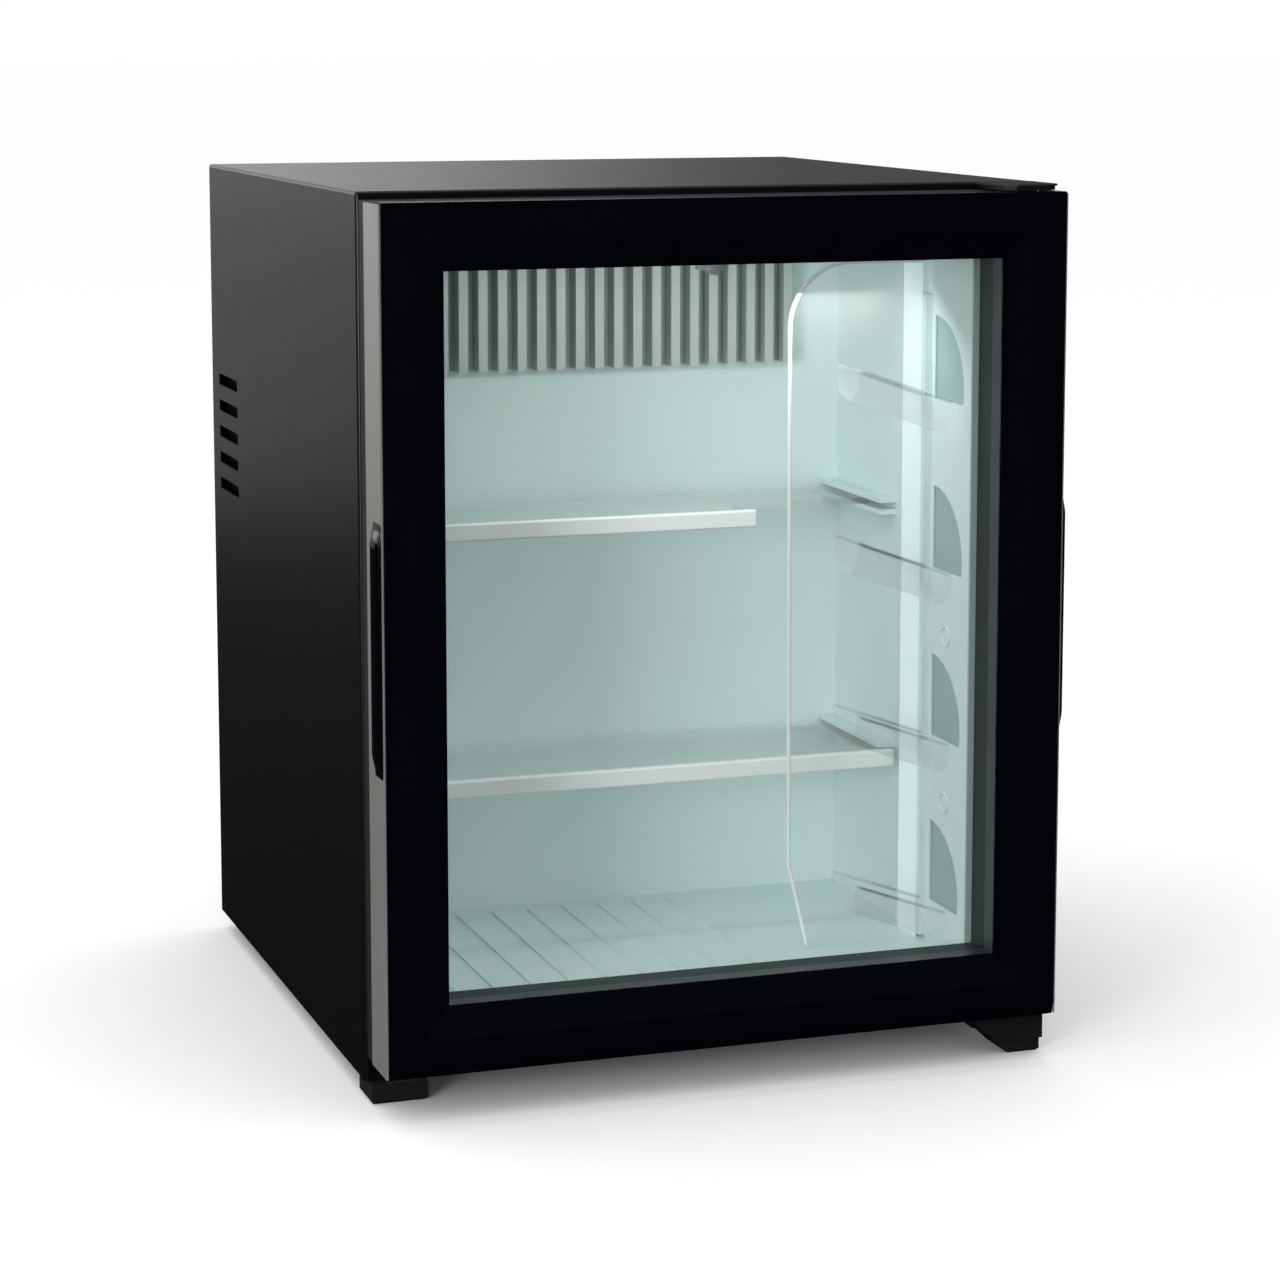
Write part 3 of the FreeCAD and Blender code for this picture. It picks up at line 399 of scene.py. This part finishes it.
def outward(mesh):
    # a closed shell whose signed volume is negative is inside out
    mesh.calc_loop_triangles()
    points = np.empty(len(mesh.vertices) * 3)
    mesh.vertices.foreach_get("co", points)
    points = points.reshape(-1, 3)
    corners = np.empty(len(mesh.loop_triangles) * 3, int)
    mesh.loop_triangles.foreach_get("vertices", corners)
    a, b, c = (points[corners[k::3]] for k in range(3))
    if np.einsum("ij,ij->i", a, np.cross(b, c)).sum() < 0:
        mesh.flip_normals()


def softened(item, width, angle=35.0, segments=3):
    # rounds the sharp edges and keeps flat faces flat
    bevel = item.modifiers.new("softEdge", "BEVEL")
    bevel.width = width
    bevel.segments = segments
    bevel.limit_method = "ANGLE"
    bevel.angle_limit = math.radians(angle)
    bevel.harden_normals = True


def frameSweep(name, profile, side, low, high, slot, body, bottomScale=1.0):
    # the profile (inset from the outer edge, y) carried round a rectangle with mitred corners
    inset, y = np.array(profile, float).T
    corners = [(-1, low, 1), (1, low, 1), (1, high, -1), (-1, high, -1)]
    rings = [np.stack([across * (side - inset), y,
                       level + rise * inset * (bottomScale if level == low else 1.0)], -1)
             for across, level, rise in corners]
    return solid(name, rings, slot, body, closed=True, smooth=False)


def tube(name, path, radius, slot, body, around=10):
    # a round section carried along a path, square to it at each point, with rounded-off ends
    path = np.array(path, float)
    ahead = np.gradient(path, axis=0)
    ahead /= np.linalg.norm(ahead, axis=1)[:, None]
    side = np.cross(ahead, np.cross(ahead[0], path.mean(0) + (0.013, 0.011, 0.007)))
    side /= np.linalg.norm(side, axis=1)[:, None]
    up = np.cross(ahead, side)
    angle = np.linspace(0, 2 * math.pi, around, endpoint=False)
    swell = np.full(len(path), radius)
    swell[0] = swell[-1] = radius * 0.5
    rings = path[:, None] + swell[:, None, None] * (
        np.cos(angle)[None, :, None] * side[:, None] + np.sin(angle)[None, :, None] * up[:, None])
    return solid(name, rings, slot, body)


def dome(name, centre, facing, radius, height, slot, body, around=24):
    # a low round head: radius falls as the root of one minus height squared
    share = np.linspace(0, 1, 7)
    out = radius * np.sqrt(1 - share ** 2 * 0.96)
    angle = np.linspace(0, 2 * math.pi, around, endpoint=False)
    facing = np.array(facing, float)
    side = np.cross(facing, (0.31, 0.52, 0.79))
    side /= np.linalg.norm(side)
    up = np.cross(facing, side)
    rings = (np.array(centre) + (share * height)[:, None, None] * facing
             + out[:, None, None] * (np.cos(angle)[None, :, None] * side
                                     + np.sin(angle)[None, :, None] * up))
    return solid(name, rings, slot, body)


# softened edges on carried-over parts
softEdges = {"door_bezel": 0.0009, "lower_hinge_bracket": 0.0012, "front_rim": 0.0012,
             "foot_front_left": 0.001, "foot_front_right": 0.001,
             "lamp_housing": 0.0016, "thermostat_dial": 0.0006, "cold_plate": 0.0008,
             "upper_hinge_cap": 0.0003, "door_back_frame": 0.0012, "power_inlet": 0.0007,
             "inner_liner": 0.0006, "side_trim_left": 0.0003, "side_trim_right": 0.0003,
             "lower_shelf_plate": 0.0008, "upper_shelf_plate": 0.0008, "fan_frame": 0.001,
             "fan_rotor": 0.0004, "hot_sink": 0.0003, "control_board": 0.0004}
for name, width in softEdges.items():
    softened(nodes[name], width)
print("edges softened:", len(softEdges))


# door
gasket = {"lips": 4, "lipDepth": 0.0006, "width": 0.016, "steps": 17, "crown": 0.0002}


def doorGasket():
    # a bellows strip: its two sides are folded in small waves between the door and the rim
    low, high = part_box("door_gasket")
    width, count = gasket["width"], gasket["steps"]
    u = np.linspace(0, 1, count)
    fold = gasket["lipDepth"] * (0.5 - 0.5 * np.cos(2 * math.pi * gasket["lips"] * u))
    front = [(width * s, low.y) for s in u[::4]]
    outer = [(fold[k], high.y - (high.y - low.y) * u[k]) for k in range(count)]
    crown = [(width * (1 - s), high.y - gasket["crown"] * math.sin(math.pi * s))
             for s in u[1:-1]]
    inner = [(width - fold[k], low.y + (high.y - low.y) * u[k]) for k in range(1, count)]
    item = frameSweep("gasket_strip", outer + front[1:-1] + inner + crown,
                      high.x, low.z, high.z, "gasket_rubber", "door")
    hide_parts("door_gasket")


grip = {"ramp": 0.09, "sections": 60, "across": 22, "back": 0.0003, "endRise": 0.12,
        "squareness": 0.45, "crease": 50.0}


def fingerGrip(side):
    # a pad that swells from the door's edge: a half-round section whose rise ramps up at each end
    name = "finger_grip_" + side
    low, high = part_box(name)
    sign = 1.0 if side == "right" else -1.0
    root = low.x if side == "right" else high.x
    rise = high.x - low.x
    s = np.linspace(0, 1, grip["sections"])
    ramp = np.clip(np.minimum(s, 1 - s) / grip["ramp"], 0, 1)
    swell = grip["endRise"] + (1 - grip["endRise"]) * ramp * ramp * (3 - 2 * ramp)
    t = np.linspace(0, math.pi, grip["across"])
    bulge = np.sin(t) ** grip["squareness"]
    y = (low.y + high.y) / 2 - np.cos(t) * (high.y - low.y) / 2
    rings = np.empty((len(s), len(t), 3))
    rings[..., 0] = root - sign * grip["back"] + sign * (rise + grip["back"]) * swell[:, None] * bulge
    rings[..., 1] = y
    rings[..., 2] = (low.z + (high.z - low.z) * s)[:, None]
    item = solid("grip_" + side, rings, "door_black", "door")
    item.data.set_sharp_from_angle(angle=math.radians(grip["crease"]))
    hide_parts(name)


pane = {"arris": 0.0006, "steps": 16}


def glassPane(name):
    # a sheet whose ground rim turns back by the glass's thickness: the rim, a 45 degree arris, then
    # the face, each row a straight run between the sides
    low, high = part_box(name)
    arris = pane["arris"]
    x = np.linspace(low.x + arris, high.x - arris, pane["steps"])
    z = np.linspace(low.z + arris, high.z - arris, pane["steps"])
    xs = np.concatenate([[low.x, low.x], x, [high.x, high.x]])
    zs = np.concatenate([[low.z, low.z], z, [high.z, high.z]])
    depth = np.full((len(zs), len(xs)), low.y)
    depth[[1, -2], :] = depth[:, [1, -2]] = low.y + arris
    depth[[0, -1], :] = depth[:, [0, -1]] = high.y
    across, up = np.meshgrid(xs, zs)
    item = skin(name + "_sheet", [np.stack([across, depth, up], -1)], finishes["window_glass"],
                "door")
    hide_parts(name)


glassPane("outer_glass")
glassPane("inner_glass")
doorGasket()
fingerGrip("left")
fingerGrip("right")
print("door pieces ready")


# bottle rack trim
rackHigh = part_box("bottle_rack")[1]
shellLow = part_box("outer_shell")[0]
rack = {"left": 0.076, "sheetY": shellLow.y + 0.05625, "corner": 0.040, "toe": 0.014,
        "toeHeight": 0.056, "bead": 0.0013, "tilt": math.radians(20.0), "lift": 0.0285,
        "pitch": 0.1065, "right": 0.167, "reach": 0.062, "radius": 0.0205, "bays": 4,
        "bend": 0.004, "flange": 0.0337, "wall": 0.0012, "endGap": 0.002, "lipDrop": 0.0015,
        "lip": 0.0009, "beadSteps": 140}
roomFloor = shellLow.z + 0.038
rackMiddle = shellLow.y + 0.034


def rackSheet():
    # the sheet's left side leans in at the toe, stands straight, then follows a quarter circle;
    # its right side rolls back into a flange along the wall
    corner, top = rack["corner"], rackHigh.z
    z = np.concatenate([[roomFloor], np.linspace(roomFloor + rack["toeHeight"], top - corner, 12),
                        top - corner + corner * np.sin(np.radians(np.linspace(4, 90, 24)))])
    lean = np.clip(1 - (z - roomFloor) / rack["toeHeight"], 0, 1) * rack["toe"]
    over = np.clip(z - (top - corner), 0, corner)
    left = rack["left"] + lean + corner - np.sqrt(np.maximum(corner ** 2 - over ** 2, 0))
    bend, side = rack["bend"], rack["right"] - rack["wall"]
    turn = np.radians(np.linspace(0, 90, 8))
    plan = np.concatenate([np.stack([side - bend + bend * np.sin(turn),
                                     rack["sheetY"] + bend - bend * np.cos(turn)], -1),
                           [(side, rack["sheetY"] + rack["flange"])]])
    share = np.linspace(0, 1, 12)[:-1]
    grid = np.empty((len(z), len(share) + len(plan), 3))
    grid[:, :len(share), 0] = left[:, None] + (plan[0, 0] - left)[:, None] * share
    grid[:, :len(share), 1] = rack["sheetY"]
    grid[:, len(share):, :2] = plan
    grid[..., 2] = z[:, None]
    return grid


def cradleTrough(number):
    # half a round tube, open above, whose axis climbs to the left: z = level + along * tan(tilt)
    level = roomFloor + rack["lift"] + number * rack["pitch"]
    along = np.linspace(0, rack["reach"], 10)
    turn = np.radians(np.linspace(180, 360, 28))
    grid = np.empty((len(along), len(turn), 3))
    grid[..., 0] = (rack["right"] - along)[:, None]
    grid[..., 1] = rackMiddle + rack["radius"] * np.cos(turn)
    grid[..., 2] = ((level + along * math.tan(rack["tilt"]))[:, None]
                    + rack["radius"] / math.cos(rack["tilt"]) * np.sin(turn))
    return grid


def rackMoulding():
    grids = [rackSheet()] + [cradleTrough(bay) for bay in range(rack["bays"])]
    item = skin("bottle_rack_moulding", grids, rackPaint, "cabinet")
    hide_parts("bottle_rack")


def rackBead():
    # a rolled edge up the left side of the sheet, over its round corner and along its top
    left, corner, bead = rack["left"], rack["corner"], rack["bead"]
    top = rackHigh.z - bead / 2
    bend = np.radians(np.linspace(180, 90, 24))
    foot = [(left + rack["toe"], roomFloor + bead), (left + 0.001, roomFloor + rack["toeHeight"])]
    corners = np.array(foot + [(left + corner + corner * math.cos(a),
                                top - corner + corner * math.sin(a)) for a in bend]
                       + [(rack["right"] - 0.002, top)])
    gaps = np.hypot(*np.diff(corners, axis=0).T)
    along = np.concatenate([[0], np.cumsum(gaps)])
    steps = np.linspace(0, along[-1], rack["beadSteps"])
    path = np.stack([np.interp(steps, along, corners[:, 0]), np.full(len(steps), rack["sheetY"]),
                     np.interp(steps, along, corners[:, 1])], -1)
    tube("rack_edge_bead", path, bead, "lip_white", "cabinet")


def cradleBeads(number):
    # rolled lips along both sides of a cradle, climbing to the left
    level = roomFloor + rack["lift"] + number * rack["pitch"]
    along = np.linspace(rack["endGap"], rack["reach"] - rack["endGap"], 24)
    path = np.empty((len(along), 3))
    path[:, 0] = rack["right"] - along
    path[:, 2] = level + along * math.tan(rack["tilt"]) - rack["lipDrop"]
    for side, sign in (("front", -1), ("rear", 1)):
        path[:, 1] = rackMiddle + sign * rack["radius"]
        tube("cradle_%d_%s_lip" % (number + 1, side), path, rack["lip"],
             "clear_plastic", "cabinet")


ring = {"wall": 0.1716, "setback": 0.033, "radius": 0.0062, "thick": 0.0008, "rise": 0.0006,
        "around": 40, "section": 8, "levels": (0.2487, 0.1429)}


def wallRing(number, level):
    # a faint raised ring on the right wall between two recesses
    angle = np.linspace(0, 2 * math.pi, ring["around"], endpoint=False)
    section = np.linspace(0, 2 * math.pi, ring["section"], endpoint=False)
    out = ring["radius"] + ring["thick"] * np.cos(section)
    rings = np.empty((ring["around"], ring["section"], 3))
    rings[..., 0] = ring["wall"] + ring["rise"] * np.sin(section)
    rings[..., 1] = shellLow.y + ring["setback"] + np.cos(angle)[:, None] * out
    rings[..., 2] = level + np.sin(angle)[:, None] * out
    solid("wall_ring_%d" % number, rings, "liner_white", "cabinet", closed=True)


rackMoulding()
rackBead()
for bay in range(rack["bays"]):
    cradleBeads(bay)
for number, level in enumerate(ring["levels"], start=1):
    wallRing(number, level)
print("rack trim ready")


# rear cover fasteners
screw = {"inset": 0.009, "sink": 0.0014, "radius": 0.0038, "head": 0.0018}


def coverScrews():
    low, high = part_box("rear_cover")
    inset = screw["inset"]
    sides = (low.x + inset, high.x - inset)
    spots = [(x, z) for x in (sides[0], 0.0, sides[1]) for z in (low.z + inset, high.z - inset)]
    spots += [(x, (low.z + high.z) / 2) for x in sides]
    for number, (x, z) in enumerate(spots, start=1):
        dome("cover_screw_%d" % number, (x, high.y - screw["sink"], z), (0, 1, 0),
             screw["radius"], screw["head"], "screw_steel", "cabinet")


coverScrews()
print("fasteners ready")


# floor, light and camera
stage = {"reach": 60.0, "seen": (0.95, 0.95, 0.95), "felt": (0.008, 0.008, 0.009)}


def stageFloor():
    # a very large pale sheet; light it throws back at the object is kept low, as over dark cloth
    reach = stage["reach"]
    mesh = bpy.data.meshes.new("floor")
    mesh.from_pydata([(-reach, -reach, 0), (reach, -reach, 0), (reach, reach, 0),
                      (-reach, reach, 0)], [], [(0, 1, 2, 3)])
    floor = bpy.data.objects.new("floor", mesh)
    bpy.context.scene.collection.objects.link(floor)
    p = Paint("paleFloor")
    direct = p.node("LightPath", output="Is Camera Ray")
    mesh.materials.append(p.finish({"Base Color": p.blend(direct, stage["felt"], stage["seen"]),
                                    "Roughness": 0.9, "Specular IOR Level": 0.0}))


plainWhite = (1.0, 1.0, 1.0)
lamps = {
    "overhead": {"place": (-0.5, 0.2, 2.6), "target": (0, 0, 0.3), "power": 14.0,
                 "size": (2.4, 2.4), "colour": plainWhite},
    "windowFill": {"place": (-1.5, -1.7, 0.5), "target": (0.1, -0.1, 0.22), "power": 20.0,
                   "size": (0.6, 0.6), "colour": plainWhite},
    "sideStrip": {"place": (-0.8, 2.3, 0.34), "target": (-0.21, 0, 0.34), "power": 0.78,
                  "size": (1.3, 0.68), "colour": (1.0, 0.98, 0.93)},
    "insideLamp": {"place": (0.03, shellLow.y + 0.045, 0.455), "target": (0.04, 0.02, 0.2),
                   "power": 0.2, "size": (0.22, 0.03), "colour": (0.97, 1.0, 0.99)},
}


def lamp(name, place, target, power, size, colour):
    data = bpy.data.lights.new(name, "AREA")
    data.energy = power
    data.color = colour
    data.shape = "RECTANGLE"
    data.size, data.size_y = size
    item = bpy.data.objects.new(name, data)
    bpy.context.scene.collection.objects.link(item)
    item.location = place
    item.rotation_euler = (Vector(target) - Vector(place)).to_track_quat("-Z", "Y").to_euler()
    item.visible_camera = False


def studio():
    for name, values in lamps.items():
        lamp(name, **values)
    world = bpy.data.worlds.new("studioAir")
    bpy.context.scene.world = world
    world.use_nodes = True
    tree = world.node_tree
    tree.nodes.clear()
    # the backdrop is white to look at, even for soft light, and a dim sky in the gloss that is
    # brighter behind the object and overhead
    path = tree.nodes.new("ShaderNodeLightPath")
    across = tree.nodes.new("ShaderNodeTexCoord")
    parts = tree.nodes.new("ShaderNodeSeparateXYZ")
    tree.links.new(across.outputs["Generated"], parts.inputs[0])
    x, y, z = (Wire(tree, parts.outputs[letter]) for letter in "XYZ")
    behind = (y - x * 0.6).ramp(0.7, 0.86) * 0.85 + y.ramp(0.4, 1.0) * 0.15
    low = 1 - z.ramp(0.05, 0.55)
    above = z.ramp(0.55, 0.95)
    sky = behind * low * 1.35 + above * 0.5 + 0.04
    glossy = Wire(tree, path.outputs["Is Glossy Ray"])
    strength = sky * glossy + (1 - glossy) * 1.04
    felt = tree.nodes.new("ShaderNodeBackground")
    tree.links.new(strength.socket, felt.inputs["Strength"])
    out = tree.nodes.new("ShaderNodeOutputWorld")
    tree.links.new(felt.outputs[0], out.inputs[0])
    felt.inputs["Color"].default_value = (1.0, 1.0, 1.0, 1.0)


shot = {"place": (-0.6682, -2.0287, 0.6232), "yaw": 0.3274, "pitch": 0.1357, "lens": 94.3,
        "shift": -0.12}


def camera():
    data = bpy.data.cameras.new("camera")
    data.lens = shot["lens"]
    data.sensor_width = 36.0
    data.shift_y = shot["shift"]
    item = bpy.data.objects.new("camera", data)
    bpy.context.scene.collection.objects.link(item)
    item.location = shot["place"]
    item.rotation_euler = (math.pi / 2 - shot["pitch"], 0.0, -shot["yaw"])
    bpy.context.scene.camera = item


stageFloor()
studio()
camera()
bpy.context.scene.view_settings.view_transform = "Standard"

print("scene ready")
